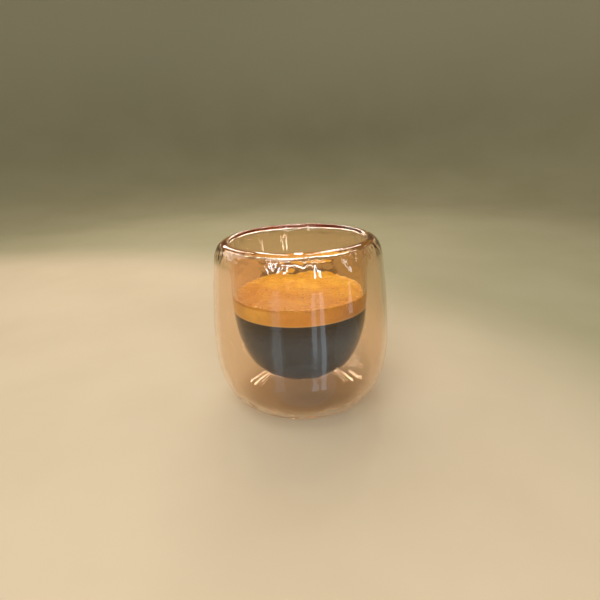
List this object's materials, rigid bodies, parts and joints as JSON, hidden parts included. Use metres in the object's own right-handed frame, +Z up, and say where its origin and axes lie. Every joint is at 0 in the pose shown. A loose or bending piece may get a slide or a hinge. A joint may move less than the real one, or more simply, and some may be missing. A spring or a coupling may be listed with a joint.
{
  "type": "espresso in a double-walled glass",
  "caption": "Espresso with a thick golden crema over dark coffee, in a small clear double-walled glass with a round-bottomed bowl and a barrel-shaped outer wall.",
  "frame": {"origin": "centre of the base, on the surface that the glass stands on", "axes": "+Z up, along the axis that the glass is turned about"},
  "size_m": [0.065, 0.065, 0.0624],
  "materials": {
    "clear_glass": "clear polished borosilicate glass with a faint warm cast",
    "clear_silicone": "translucent, satin",
    "dark_coffee": "near-black liquid with a wet gloss",
    "golden_crema": "fine soft foam with tiny bubbles and dark specks"
  },
  "bodies": {
    "root": {"glass": "clear_glass", "vent_plug": "clear_silicone", "coffee": "dark_coffee", "crema": "golden_crema"}
  },
  "joints": []
}
